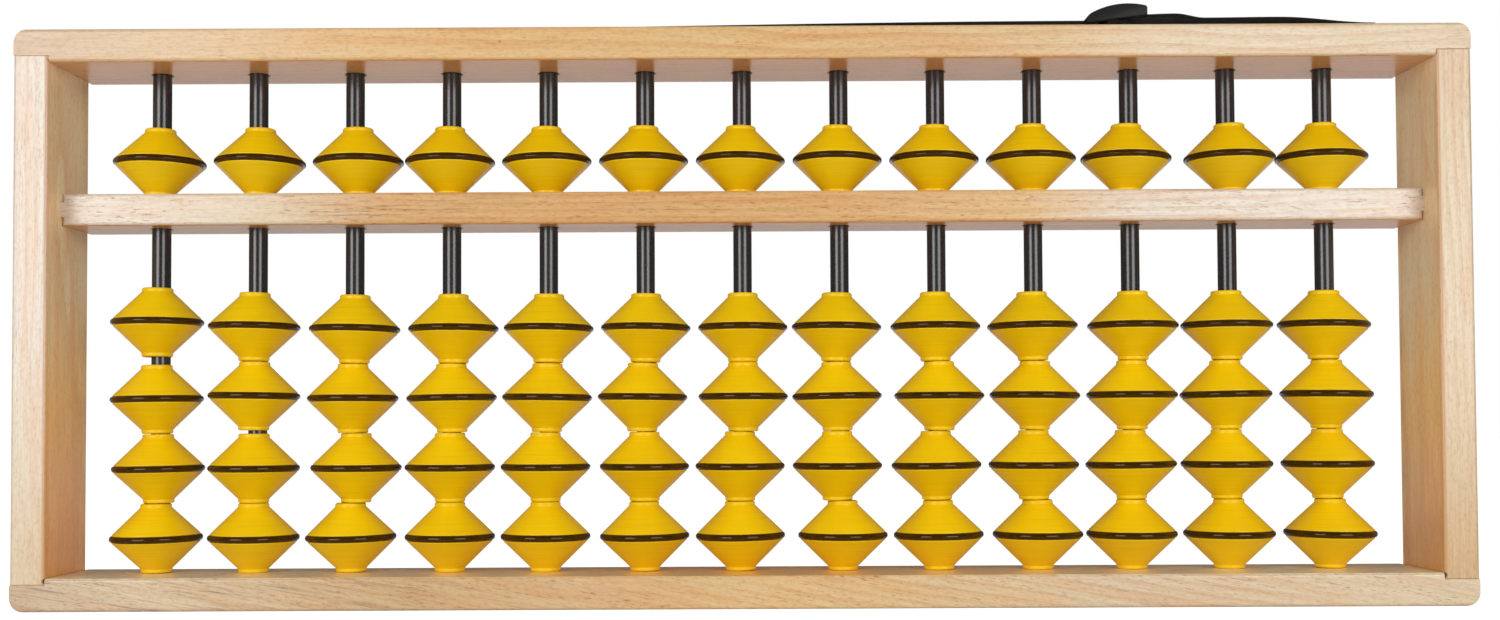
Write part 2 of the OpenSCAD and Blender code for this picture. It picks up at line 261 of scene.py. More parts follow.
def make_camera():
    data = bpy.data.cameras.new("camera")
    data.sensor_width = SENSOR
    data.lens = LENS
    data.shift_x, data.shift_y = LENS_SHIFT
    camera = link(bpy.data.objects.new("camera", data))
    camera.matrix_world = (
        Matrix.Translation(CAMERA_PLACE)
        @ Matrix.Rotation(CAMERA_YAW, 4, "Z")
        @ Matrix.Rotation(CAMERA_TILT, 4, "X")
        @ Matrix.Rotation(CAMERA_ROLL, 4, "Y")
        @ Matrix.Rotation(math.radians(90), 4, "X")
    )
    bpy.context.scene.camera = camera


def make_softbox(name, watts, place, aim):
    data = bpy.data.lights.new(name, "AREA")
    data.shape = "RECTANGLE"
    data.size, data.size_y = SOFTBOX_SIZE
    data.energy = watts
    box = link(bpy.data.objects.new(name, data))
    turn = (Vector(aim) - Vector(place)).to_track_quat("-Z", "Y")
    box.matrix_world = Matrix.LocRotScale(Vector(place), turn, None)
    box.visible_camera = False


def ray_kinds(net):
    """Whether a ray is the camera's own or one seen through glass, and whether it is glossy."""
    camera = net.add("ShaderNodeLightPath", output="Is Camera Ray")
    clear = net.add("ShaderNodeLightPath", output="Is Transmission Ray")
    glossy = net.add("ShaderNodeLightPath", output="Is Glossy Ray")
    return net.math("MAXIMUM", camera, clear), glossy


def make_world():
    """Plain light from all round. What the camera sees is white. Gloss shows a dim room, which
    is lighter behind the object than in front of it and above."""
    world = bpy.data.worlds.new("studio")
    world.use_nodes = True
    world.node_tree.nodes.clear()
    net = Net(world.node_tree)
    direction = net.add("ShaderNodeTexCoord", output="Generated")
    behind = net.step(net.split(direction)[DEEP], *BEHIND)
    seen, glossy = ray_kinds(net)
    room = FRONT_GLOSS + (BACK_GLOSS - FRONT_GLOSS) * behind
    unseen = AMBIENT + (room - AMBIENT) * glossy
    strength = unseen + (1 - unseen) * seen
    light = net.add("ShaderNodeBackground", {}, {"Color": (1, 1, 1, 1), "Strength": strength})
    net.add("ShaderNodeOutputWorld", {}, {"Surface": light})
    bpy.context.scene.world = world


def make_floor():
    """A pale floor. It glows to the camera, so that it is white and keeps the shadow, and gloss
    shows a white band of it behind the object."""
    mesh = bpy.data.meshes.new("floor")
    around = ((-1, -1), (1, -1), (1, 1), (-1, 1))
    corners = [(x * FLOOR_REACH, y * FLOOR_REACH, -FLOOR_GAP * MM) for x, y in around]
    mesh.from_pydata(corners, [], [(0, 1, 2, 3)])
    floor = link(bpy.data.objects.new("floor", mesh))
    material, net = new_material("floor")
    seen, glossy = ray_kinds(net)
    depth = net.split(net.add("ShaderNodeTexCoord", output="Object"))[DEEP]
    band = net.step(depth, *FLOOR_BAND_START) * net.step(depth, *FLOOR_BAND_END)
    near, far = FLOOR_GLOSS
    strength = seen * FLOOR_GLOW + glossy * (near + (far - near) * band)
    glow = net.add("ShaderNodeEmission", {}, {"Color": (1, 1, 1, 1), "Strength": strength})
    matt = net.add("ShaderNodeBsdfDiffuse", {}, {"Color": (FLOOR_TONE,) * 3 + (1,)})
    both = net.add("ShaderNodeAddShader", {}, {0: glow, 1: matt})
    net.add("ShaderNodeOutputMaterial", {}, {"Surface": both})
    mesh.materials.append(material)


make_camera()
for softbox in SOFTBOXES:
    make_softbox(*softbox)
make_world()
make_floor()
bpy.context.scene.view_settings.view_transform = "Standard"


# ---- Finishes ----

# Where the frame's front and the stiles' inner faces lie, and the rods' depth and pitch.
FRONT_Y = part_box("left_stile")[0].y / MM
STILE_INNER = -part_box("left_stile")[1].x / MM
ROD_Y = (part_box("rod_07")[0].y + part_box("rod_07")[1].y) / 2 / MM
ROD_PITCH = (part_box("rod_08")[0].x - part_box("rod_07")[0].x) / MM
# The dark rims of the rods' holes: how far they reach and how soft they end.
HOLE_R = 5.0
HOLE_SOFT = 0.9
# The boards: long axis, stretch of timber, brown dashes, tilt of the fibres and grey streaks.
BOARDS = {
    "top_rail": (ACROSS, (0, 0, -220), 0.45, 0.0, None),
    "bottom_rail": (ACROSS, (940, 5, 60), 0.75, -0.17, (-240, 170)),
    "beam": (ACROSS, (430, 30, -140), 0.7, 0.0, (-142, 60)),
    "left_stile": (UP, (50, 80, 300), 0.4, 0.0, None),
    "right_stile": (UP, (390, 120, -180), 0.3, 0.0, None),
}
# The boards' outer or upper faces: the axis they are square to, whether they are at its low end (0)
# or its high end (1), and which way is into the board.
OUTWARD = {
    "top_rail": (UP, 1, -1),
    "bottom_rail": (UP, 0, 1),
    "beam": (UP, 1, -1),
    "left_stile": (ACROSS, 0, 1),
    "right_stile": (ACROSS, 1, -1),
}
# Small red-brown knots, in the same words as the worn edges in wood().
KNOTS = {
    "top_rail": (
        (ACROSS, -96.4, UP, 225.7, 0.75, 0.7, (196, 104, 60)),
        (ACROSS, -98.6, UP, 225.1, 0.6, 0.5, (206, 128, 80)),
    ),
}
# How far behind a board's front its inner tones, with their painted light and shade, start and are
# full, how far before its back they end, and how far into it from its outer face they start and
# are full.
FRONT_SPAN = (0.2, 1.2)
BACK_SPAN = (-0.2, -0.7)
INWARD_SPAN = (3, 8)
# How far into the rails the dark lines at their joints with the stiles lie.
JOINT_INSET = 1.0
# The wood's tones. The palest on the front paint the sheen of the lamps in the lacquer, and the
# last five are for its faces inside the frame, where they paint how the light falls there.
CREAM = (230, 220, 207)
ALMOND = (226, 208, 178)
OAT = (216, 197, 167)
TAN = (210, 185, 155)
BUTTER = (233, 203, 150)
STRAW = (226, 195, 150)
HONEY = (229, 194, 140)
DUN = (216, 185, 140)
GOLD = (223, 180, 123)
AMBER = (238, 175, 98)
BRONZE = (224, 168, 92)
WHEAT = (252, 208, 134)
IVORY = (252, 231, 190)
PEARL = (255, 247, 220)
# How the tones run along each board's long axis, as place and tone: partly the timber's own tone,
# and partly painted sheen of the lamps in the lacquer, which makes them paler towards the ends of
# the rails and the beam and up the stiles.
TONES_AND_SHEEN = {
    "top_rail": (
        (-285, TAN), (-195, STRAW), (-150, HONEY), (20, HONEY), (125, STRAW), (170, ALMOND),
        (285, OAT),
    ),
    "beam": (
        (-262, CREAM), (-190, ALMOND), (-135, GOLD), (-20, GOLD), (110, HONEY), (165, CREAM),
        (262, CREAM),
    ),
    "bottom_rail": (
        (-285, TAN), (-240, ALMOND), (-135, DUN), (-50, STRAW), (20, BUTTER), (150, ALMOND),
        (285, ALMOND),
    ),
    "left_stile": ((28, ALMOND), (110, CREAM), (218, CREAM)),
    "right_stile": ((28, DUN), (110, ALMOND), (218, OAT)),
}
# And how they run along its faces inside the frame. These are painted light and shade: they differ
# from the front's tones by how the light falls on those faces, and are pale where it is dim.
INNER_TONES_AND_LIGHT = {
    "top_rail": ((-200, AMBER), (200, AMBER)),
    "beam": ((-200, BRONZE), (0, AMBER), (200, AMBER)),
    "bottom_rail": ((-200, PEARL), (0, WHEAT), (200, PEARL)),
    "left_stile": ((32, AMBER), (80, WHEAT), (131, IVORY), (204, IVORY)),
    "right_stile": ((32, BRONZE), (80, WHEAT), (131, IVORY), (204, IVORY)),
}
# What darkens the wood, as tints that multiply its tone.
RUDDY_PATCH = (255, 222, 190)
PALE_PATCH = (252, 247, 220)
LATE_WOOD = (234, 206, 176)
FIBRE_TINT = (228, 204, 178)
MOTTLE_TINT = (226, 208, 184)
FLECK_TINT = (198, 150, 118)
STREAK_TINT = (172, 168, 174)
HOLE_RIM = (84, 40, 22)
# Growth rings: the pith's depth and height, the rings' width and how far they waver.
PITH = (46, -37)
RING_WIDTH = 3.4
RING_WAVER = 14
# How far the tones along a board drift with its grain.
TONE_DRIFT = 60


def wood(name, tones, along, shift, rough, slant, stain, inner, spans, edges, outside):
    """Lacquered pine. along is its long axis, and tones are its colours at places along that,
    partly painted sheen of the lamps in the lacquer, which makes them paler towards the ends.
    shift picks a stretch of timber, rough is how much its brown dashes show and slant tips its
    fibres. stain is the middle and the reach of its grey streaks. inner are its colours on its
    faces inside the frame, where all spans are full: an axis, where the span starts and where it
    is full. They are painted light and shade, set by how the light falls on those faces. edges
    are worn or dark lines and knots: two axes and the line's place on both, how far it reaches,
    its strength and its colour. A board that the rods enter has dark rims round them, but none
    on its face at the height outside."""
    material, net = new_material(name)
    axes = net.split(net.object_place())
    turn = (0, slant, 0) if along == ACROSS else (0, math.pi / 2, 0)
    place = net.object_place(turn=turn, shift=shift)
    _, depth, height = net.split(place)
    waver = net.noise(place, (0.006, 0.03, 0.03), 2.0)
    broad = net.noise(place, (0.012, 0.10, 0.16), 3.0, 0.55)
    patch = net.noise(net.vector("ADD", place, (71, 13, 37)), (0.014, 0.12, 0.22), 3.0, 0.6)
    fibre = net.noise(place, (0.06, 1.7, 1.9), 4.0, 0.62)
    dash = net.noise(net.vector("ADD", place, (5, 91, 17)), (0.24, 1.6, 2.0), 2.0, 0.6)
    mottle = net.noise(place, (0.45, 0.9, 0.9), 3.0, 0.65)
    # Growth rings round a pith well outside the piece: they darken slowly and end sharply.
    pith_far = net.math("SQRT", (depth - PITH[0]) ** 2 + (height - PITH[1]) ** 2)
    ring = net.math("FRACT", (pith_far + waver * RING_WAVER) / RING_WIDTH)
    late = net.step(ring, 0.3, 0.92) * net.step(ring, 1.0, 0.93)
    # Short brown dashes lie in the fibres, in loose clusters.
    cluster = net.step(net.noise(place, (0.02, 0.10, 0.16), 2.0), 0.38, 0.62)
    fleck = net.step(dash, 0.58, 0.68) * (0.3 + 0.7 * cluster)
    where = axes[along] + (broad - 0.5) * TONE_DRIFT
    # Painted sheen: the tones along the board turn paler towards its ends.
    colour = net.ramp(where, tones)
    # Painted light and shade: inside the frame other tones take over, set by how the light falls
    # there.
    inside = 1
    for axis, start, full in spans:
        inside = inside * net.step(axes[axis], start, full)
    colour = net.blend(inside, colour, net.ramp(where, inner))
    layers = [
        (net.step(patch, 0.42, 0.68) * 0.45, RUDDY_PATCH),
        (net.step(patch, 0.5, 0.28) * 0.4, PALE_PATCH),
        (late * net.step(waver, 0.3, 0.6) * 0.4, LATE_WOOD),
        (net.step(fibre, 0.4, 0.75) * 0.45, FIBRE_TINT),
        (net.step(mottle, 0.45, 0.7) * 0.4, MOTTLE_TINT),
        (fleck * rough, FLECK_TINT),
    ]
    if stain is not None:
        middle, reach = stain
        near = net.step(net.math("ABSOLUTE", axes[along] - middle), reach, reach * 0.3)
        streak = net.step(net.noise(place, (0.035, 0.7, 1.3), 4.0, 0.75), 0.5, 0.68)
        layers.append((near * streak * 0.7, STREAK_TINT))
    for amount, tint in layers:
        colour = net.blend(amount, colour, paint(*tint), "MULTIPLY")
    for first, first_at, second, second_at, reach, strength, shade in edges:
        far = net.math("SQRT", (axes[first] - first_at) ** 2 + (axes[second] - second_at) ** 2)
        worn = net.step(far + (mottle - 0.5) * reach, reach, reach * 0.4)
        colour = net.blend(worn * strength, colour, paint(*shade))
    if outside is not None:
        aside = net.math("PINGPONG", axes[ACROSS], ROD_PITCH / 2)
        far = net.math("SQRT", aside ** 2 + (axes[DEEP] - ROD_Y) ** 2)
        rim = net.step(far + (mottle - 0.5) * 0.8, HOLE_R, HOLE_R - HOLE_SOFT)
        elsewhere = net.step(net.math("ABSOLUTE", axes[UP] - outside), 1, 2)
        colour = net.blend(rim * elsewhere * 0.9, colour, paint(*HOLE_RIM))
    net.surface({
        "Base Color": colour,
        "Roughness": 0.3 + 0.08 * fibre + 0.1 * fleck,
        "Coat Weight": 0.25 - 0.2 * fleck,
        "Coat Roughness": 0.22,
        "Normal": net.bump(0.5 * fibre + 0.9 * mottle - 0.6 * fleck, 0.4, 0.05 * MM),
    })
    return material


def yellow_plastic():
    """Glossy moulded plastic with faint turning lines and a slightly uneven tone."""
    material, net = new_material("yellow_plastic")
    place = net.object_place()
    cloud = net.noise(place, (0.05, 0.05, 0.05), 2.0)
    line = net.noise(place, (0.03, 0.03, 2.2), 3.0, 0.65)
    peel = net.noise(place, (0.9, 0.9, 1.4), 3.0)
    colour = net.blend(net.step(cloud, 0.3, 0.7), paint(249, 206, 0), paint(243, 198, 0))
    colour = net.blend(net.step(line, 0.45, 0.75) * 0.4, colour, paint(226, 178, 0))
    net.surface({
        "Base Color": colour,
        "Roughness": 0.3 + 0.14 * line,
        "Specular IOR Level": 0.3,
        "Coat Weight": 0.06 + 0.06 * cloud,
        "Coat Roughness": 0.15,
        "Normal": net.bump(0.6 * line + 0.5 * peel, 0.3, 0.03 * MM),
    })
    return material


def black_gloss():
    """The hard glossy ring round each bead, warm black where light gets into it."""
    material, net = new_material("black_gloss")
    place = net.object_place()
    wear = net.noise(place, (0.5, 0.5, 0.5), 3.0, 0.6)
    colour = net.blend(net.step(wear, 0.4, 0.8), paint(56, 35, 6), paint(68, 44, 10))
    net.surface({
        "Base Color": colour,
        "Roughness": 0.07 + 0.06 * wear,
        "Specular IOR Level": 0.4,
        "Specular Tint": (1.0, 0.74, 0.36, 1.0),
        "Normal": net.bump(wear, 0.1, 0.02 * MM),
    })
    return material


def dark_rods():
    """Black lacquered rod, drawn lengthwise and finely speckled."""
    material, net = new_material("dark_rods")
    place = net.object_place()
    drawn = net.noise(place, (2.6, 2.6, 0.02), 3.0, 0.6)
    speck = net.noise(place, (1.4, 1.4, 1.1), 3.0, 0.65)
    colour = net.blend(net.step(drawn, 0.3, 0.7), paint(34, 31, 31), paint(45, 41, 41))
    colour = net.blend(net.step(speck, 0.55, 0.75) * 0.5, colour, paint(62, 57, 56))
    net.surface({
        "Base Color": colour,
        "Roughness": 0.18 + 0.1 * speck,
        "Specular IOR Level": 0.75,
        "Normal": net.bump(0.4 * drawn + 0.6 * speck, 0.3, 0.03 * MM),
    })
    return material


def webbing_fabric():
    """Black woven webbing: ribs across it, split by the warp into a brick pattern."""
    material, net = new_material("webbing")
    rib, warp = 0.9 * MM, 1.5 * MM
    along, across, _ = net.split(net.add("ShaderNodeUVMap", {"uv_map": "weave"}))
    row = net.math("FLOOR", across / warp)
    half = net.math("FRACT", row * 0.5) * rib
    wave = net.math("PINGPONG", (along + half) / rib, 0.5) * 2
    bundle = net.math("PINGPONG", across / warp, 0.5) * 2
    thread = net.step(wave, 0.05, 0.8) * net.step(bundle, 0.02, 0.4)
    fuzz = net.noise(net.object_place(), (6, 6, 6), 3.0, 0.7)
    # Darker in the gaps between the threads: painted shade of the weave.
    colour = net.blend(thread, paint(12, 9, 7), paint(33, 28, 25))
    colour = net.blend(net.step(fuzz, 0.5, 0.8) * 0.4, colour, paint(54, 48, 43))
    net.surface({
        "Base Color": colour,
        "Roughness": 0.9 - 0.2 * thread,
        "Specular IOR Level": 0.3,
        "Sheen Weight": 0.12,
        "Sheen Roughness": 0.4,
        "Normal": net.bump(thread + 0.25 * fuzz, 0.7, 0.14 * MM),
    })
    return material


def slider_plastic():
    """Matt black moulded plastic."""
    material, net = new_material("slider_plastic")
    grain = net.noise(net.object_place(), (7, 7, 7), 2.0, 0.6)
    scuff = net.noise(net.object_place(), (0.5, 2.0, 2.0), 3.0, 0.6)
    colour = net.blend(net.step(scuff, 0.5, 0.75), paint(15, 12, 10), paint(30, 26, 23))
    net.surface({
        "Base Color": colour,
        "Roughness": 0.4 + 0.2 * grain,
        "Specular IOR Level": 0.3,
        "Normal": net.bump(grain, 0.25, 0.03 * MM),
    })
    return material


def screw_steel():
    """Bright plated steel, turned on top."""
    material, net = new_material("screw_steel")
    place = net.object_place()
    turned = net.noise(place, (3, 3, 0.5), 3.0, 0.6)
    colour = net.blend(net.step(turned, 0.4, 0.7), paint(196, 197, 200), paint(168, 168, 170))
    net.surface({
        "Base Color": colour,
        "Metallic": 1.0,
        "Roughness": 0.22 + 0.2 * turned,
        "Normal": net.bump(turned, 0.2, 0.02 * MM),
    })
    return material


# ---- Turned pieces: a half section swept round its axis and repeated in a row ----

def outline(corners, steps=4, margin=0.15):
    """A closed outline in millimetres. Each corner is (out, up, radius), rounded by its radius,
    with a point just before and after each rounding so that the flats shade as flats."""
    points = []
    for i, (out, up, radius) in enumerate(corners):
        corner = Vector((out, up))
        if radius == 0:
            points.append(corner)
            continue
        back = (Vector(corners[i - 1][:2]) - corner).normalized()
        ahead = (Vector(corners[(i + 1) % len(corners)][:2]) - corner).normalized()
        half = back.angle(ahead) / 2
        reach = radius / math.tan(half)
        centre = corner + (back + ahead).normalized() * radius / math.sin(half)
        start = corner + back * reach - centre
        end = corner + ahead * reach - centre
        first = math.atan2(start.y, start.x)
        sweep = math.remainder(math.atan2(end.y, end.x) - first, math.tau)
        points.append(corner + back * (reach + margin))
        for k in range(steps + 1):
            angle = first + sweep * k / steps
            points.append(centre + radius * Vector((math.cos(angle), math.sin(angle))))
        points.append(corner + ahead * (reach + margin))
    return points


def turning_tree():
    """Geometry Nodes: turn the section into a closed solid and repeat it in a straight row of
    up to three. Each has its own play: how far it sits along x and y, and its lean about y. A
    leaning one is shorter by the squeeze for each radian, so that its rims stay in its place."""
    tree = bpy.data.node_groups.new("turned_in_a_row", "GeometryNodeTree")
    net = Net(tree)
    given = net.take({
        "Section": "Geometry",
        "Facets": "Int",
        "Count": "Int",
        "Start": "Vector",
        "Step": "Vector",
        "First play": "Vector",
        "Second play": "Vector",
        "Third play": "Vector",
        "Squeeze": "Float",
        "Finish": "Material",
    })
    spine_radius = 10 * MM
    profile = net.add("GeometryNodeMeshToCurve", {}, {"Mesh": given["Section"]})
    profile = net.add(
        "GeometryNodeTransform",
        {},
        {
            "Geometry": profile,
            "Rotation": (-math.pi / 2, 0, 0),
            "Translation": (-spine_radius, 0, 0),
        },
    )
    spine = net.add(
        "GeometryNodeCurvePrimitiveCircle",
        {},
        {"Resolution": given["Facets"], "Radius": spine_radius},
    )
    solid = net.add("GeometryNodeCurveToMesh", {}, {"Curve": spine, "Profile Curve": profile})
    row = net.add(
        "GeometryNodeMeshLine",
        {"mode": "OFFSET"},
        {"Count": given["Count"], "Start Location": given["Start"], "Offset": given["Step"]},
    )
    plays = [given[order + " play"] for order in ("First", "Second", "Third")]
    aside, deep, lean = net.split(net.pick("VECTOR", plays))
    row = net.add(
        "GeometryNodeSetPosition", {}, {"Geometry": row, "Offset": net.join(aside, deep, 0)}
    )
    shorter = 1 - net.math("ABSOLUTE", lean) * given["Squeeze"]
    copies = net.add(
        "GeometryNodeInstanceOnPoints",
        {},
        {
            "Points": row,
            "Instance": solid,
            "Rotation": net.join(0, lean, 0),
            "Scale": net.join(1, 1, shorter),
        },
    )
    made = net.add("GeometryNodeRealizeInstances", {}, {"Geometry": copies})
    made = net.add("GeometryNodeSetShadeSmooth", {}, {"Geometry": made, "Shade Smooth": True})
    made = net.add(
        "GeometryNodeSetMaterial", {}, {"Geometry": made, "Material": given["Finish"]}
    )
    net.give(made)
    return tree


def baked(obj, name):
    """The object with its modifiers applied, as a new plain mesh object that takes its place."""
    evaluated = obj.evaluated_get(bpy.context.evaluated_depsgraph_get())
    mesh = bpy.data.meshes.new_from_object(evaluated)
    mesh.name = name
    bpy.data.objects.remove(obj)
    return link(bpy.data.objects.new(name, mesh))


def grown(name, tree, points, edges, inputs):
    """A mesh that a Geometry Nodes tree makes from points and edges, with its named inputs."""
    mesh = bpy.data.meshes.new(name)
    mesh.from_pydata(points, edges, [])
    obj = link(bpy.data.objects.new(name + "_source", mesh))
    modifier = obj.modifiers.new(tree.name, "NODES")
    modifier.node_group = tree
    for item in tree.interface.items_tree:
        if item.in_out == "INPUT" and item.name in inputs:
            modifier[item.identifier] = inputs[item.name]
    made = baked(obj, name)
    made.data.set_sharp_from_angle(angle=math.radians(40))
    return made


TURNING = turning_tree()


def turned(name, section, inputs):
    """Pieces turned from a half section in millimetres."""
    points = [(p.x * MM, 0, p.y * MM) for p in section]
    edges = [(i, (i + 1) % len(points)) for i in range(len(points))]
    return grown(name, TURNING, points, edges, inputs)


# ---- Beads ----

# A bead's collars, with the roundings of their rims and of their necks, and its bore.
COLLAR_R = 6.2
COLLAR_H = 1.6
RIM_R = 0.75
NECK_R = 0.5
BORE_R = 5.2
BORE_EDGE_R = 0.25
# Its ring: how wide it is, how far it stands out, how deep it sits and its gap to the groove.
RING_T = 2.8
RING_PROUD = 1.1
RING_SEAT = 1.8
RING_GAP = 0.04
# The ring's roundings, as a share of half its width, just short of meeting each other.
RING_ROUND = 0.98
# The straight land between the groove and each cone, and its rounding.
LAND_H = 0.3
LAND_R = 0.25
# The gap between beads that rest on each other, the facets round each and how many a rod has.
STACK_GAP = 0.06
BEAD_FACETS = 72
BEADS_ON_ROD = 5
# How far all beads lie towards the front in their bores.
FORWARD = -0.4
# How each rod's beads came to rest, from the top one down. The letter says where a bead lies: left
# or right by all its play, or by half of it in small letters, or in the middle. The sign after it
# says how it leans: its left side low, level, or its right side low. LIES is in millimetres and
# LEANS in degrees.
LIES = {"L": -1.4, "l": -0.7, "M": 0.0, "r": 0.7, "R": 1.4}
LEANS = {"<": -0.8, "-": 0.0, ">": 0.8}
PLAY = (
    "l> L- L< l< L<",
    "r> L> L> L- L-",
    "R< M> l- r- L<",
    "l- r- M< l- l-",
    "l< M> l> L- L-",
    "l- M> L> l- l<",
    "l> M- M- L- L<",
    "l> L> L< L- r-",
    "l> l- r- l< M<",
    "l- l< M> l- r-",
    "L> r- M- l< l-",
    "R- l- L< L- l-",
    "l- l> M> M- r>",
)


def bead_sections(radius, height):
    """The half sections of a bead's yellow body and of its black ring, in millimetres."""
    waist = radius - RING_PROUD
    groove = waist - RING_SEAT
    end, half_t = height / 2, RING_T / 2
    neck, cone = end - COLLAR_H, half_t + LAND_H
    half = [
        (waist, half_t, 0),
        (waist, cone, LAND_R),
        (COLLAR_R, neck, NECK_R),
        (COLLAR_R, end, RIM_R),
        (BORE_R, end, BORE_EDGE_R),
    ]
    lower = [(out, -up, rounding) for out, up, rounding in reversed(half)]
    body = [*lower, (groove, -half_t, 0), (groove, half_t, 0), *half]
    edge = half_t - RING_GAP
    inner = groove + RING_GAP
    ring = [
        (inner, -edge, 0),
        (radius, -edge, edge * RING_ROUND),
        (radius, edge, edge * RING_ROUND),
        (inner, edge, 0),
    ]
    return outline(body), outline(ring, steps=7, margin=0)


def make_beads(yellow, black):
    """Every bead body of the CAD, of one to three beads, as a row of bodies and one of rings."""
    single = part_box("upper_bead_01")
    height = (single[1].z - single[0].z) / MM
    radius = (single[1].x - single[0].x) / MM / 2
    body_section, ring_section = bead_sections(radius, height)
    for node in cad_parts:
        if "bead" not in node:
            continue
        low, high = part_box(node)
        count = round((high.z - low.z) / MM / (height + STACK_GAP))
        middle = (low + high) / 2
        inputs = {
            "Facets": BEAD_FACETS,
            "Count": count,
            "Start": (middle.x, middle.y, low.z + height / 2 * MM),
            "Step": (0, 0, (height + STACK_GAP) * MM),
            "Squeeze": 2 * COLLAR_R / height,
        }
        kind, rod = node.rsplit("_", 1)
        lowest = BEADS_ON_ROD - count
        top = {"upper_bead": 0, "lower_beads_top": 1, "lower_beads_bottom": lowest}[kind]
        resting = reversed(PLAY[int(rod) - 1].split()[top:top + count])
        for order, (lies, leans) in zip(("First", "Second", "Third"), resting):
            lean = math.radians(LEANS[leans])
            inputs[order + " play"] = (LIES[lies] * MM, FORWARD * MM, lean)
        body = turned(node + "_body", body_section, {**inputs, "Finish": yellow})
        ring = turned(node + "_ring", ring_section, {**inputs, "Finish": black})
        for piece, slot in ((body, "bead"), (ring, "ring")):
            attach(piece, node)
            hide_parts(node)


# ---- Wooden frame, rods and screws: the CAD shapes with their finishes ----

def finish_nodes(nodes, material):
    for node in nodes:
        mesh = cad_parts[node].data
        mesh.materials.clear()
        mesh.materials.append(material)


def stile_edges(way):
    """A stile's worn inner edge at the front, and dark lines along its joints with both rails."""
    inner_x = way * STILE_INNER
    lower_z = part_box("bottom_rail")[1].z / MM - JOINT_INSET
    upper_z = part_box("top_rail")[0].z / MM + JOINT_INSET
    return (
        (ACROSS, inner_x, DEEP, FRONT_Y, 2.0, 0.45, (206, 138, 76)),
        (ACROSS, inner_x, DEEP, FRONT_Y, 0.7, 0.6, (150, 84, 42)),
        (ACROSS, inner_x, UP, lower_z, 1.5, 0.95, (52, 24, 12)),
        (ACROSS, inner_x, UP, upper_z, 1.0, 0.6, (104, 58, 34)),
    )


def finish_frame():
    """Each board is its own stretch of timber, with its own tones along it. These are partly
    painted
    light: sheen towards the ends of its front, and light and shade on its faces inside the frame.
    """
    edges_of = {**KNOTS, "left_stile": stile_edges(-1), "right_stile": stile_edges(1)}
    for node, (along, *nature) in BOARDS.items():
        edges = edges_of.get(node, ())
        low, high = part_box(node)
        # The rods' holes show on the rails' inner faces and on both faces of the beam.
        outside = {"bottom_rail": low.z / MM, "beam": 0.0, "top_rail": high.z / MM}.get(node)
        front, back = low.y / MM, high.y / MM
        axis, outer, inward = OUTWARD[node]
        face = (low, high)[outer][axis] / MM
        spans = (
            (DEEP, *(front + at for at in FRONT_SPAN)),
            (DEEP, *(back + at for at in BACK_SPAN)),
            (axis, *(face + inward * at for at in INWARD_SPAN)),
        )
        material = wood(
            "wood_" + node, TONES_AND_SHEEN[node], along, *nature, INNER_TONES_AND_LIGHT[node], spans, edges, outside
        )
        finish_nodes([node], material)
    rods = [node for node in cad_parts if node.startswith("rod_")]
    finish_nodes(rods, dark_rods())
    finish_nodes(["strap_screws"], screw_steel())


# ---- Hanging strap ----

# The webbing: its thickness, the rounding of its edges and the steps along its line.
WEB_T = 1.2
WEB_EDGE_R = 0.55
WEB_STEP = 1.5
# Its selvedges: how much thicker they are on each face, how wide, and how wide their slopes are.
SELVEDGE = 0.12
SELVEDGE_W = 1.6
SELVEDGE_SLOPE = 0.4
# The slider: how wide its bars are, the slope of its floor and the rounding of its edges.
END_BAR = 4.4
MID_BAR = 5
FLOOR_SLOPE = 0.13
SLIDER_EDGE_R = 0.45
# The strap's line: how it climbs to the slider from the left and turns over the middle bar.
STRAP_AIR = 0.15
LOW_AIR = 0.3
CROWN_DROP = 0.9
CLIMB_RISE = 2.6
CLIMB_RUN = 305
RUN_IN = 3
TURN_IN = 0.2
# Its tail: how it leaves the slider, swells, sags and comes down to its end on the rail.
TAIL_L = 104.8
TAIL_DROP = 0.5
TAIL_SWELL = 0.4
TAIL_SAG = 1.15
TAIL_DIP = 0.2
TAIL_FALL = 39
RUN_OUT = 12
RUN_DOWN = 12


def eased_line(knots, spacing):
    """A line through the knots, level at each one and smooth between them."""
    points = []
    for (x0, z0), (x1, z1) in zip(knots, knots[1:]):
        steps = max(6, round((x1 - x0) / spacing))
        for k in range(steps):
            t = k / steps
            ease = (1 - math.cos(math.pi * t)) / 2
            points.append(Vector((x0 + (x1 - x0) * t, z0 + (z1 - z0) * ease)))
    points.append(Vector(knots[-1]))
    return points


def web_section(width):
    """The outline of the webbing's cut: flat, with a thicker round selvedge at each edge."""
    edge, half = width / 2, WEB_T / 2
    flat = half - SELVEDGE
    thick = edge - SELVEDGE_W
    thin = thick - SELVEDGE_SLOPE
    upper = [
        (edge, half, WEB_EDGE_R), (thick, half, 0), (thin, flat, 0),
        (-thin, flat, 0), (-thick, half, 0), (-edge, half, WEB_EDGE_R),
    ]
    lower = [(-across, -up, rounding) for across, up, rounding in upper]
    return outline([*lower, *upper], steps=3, margin=0)


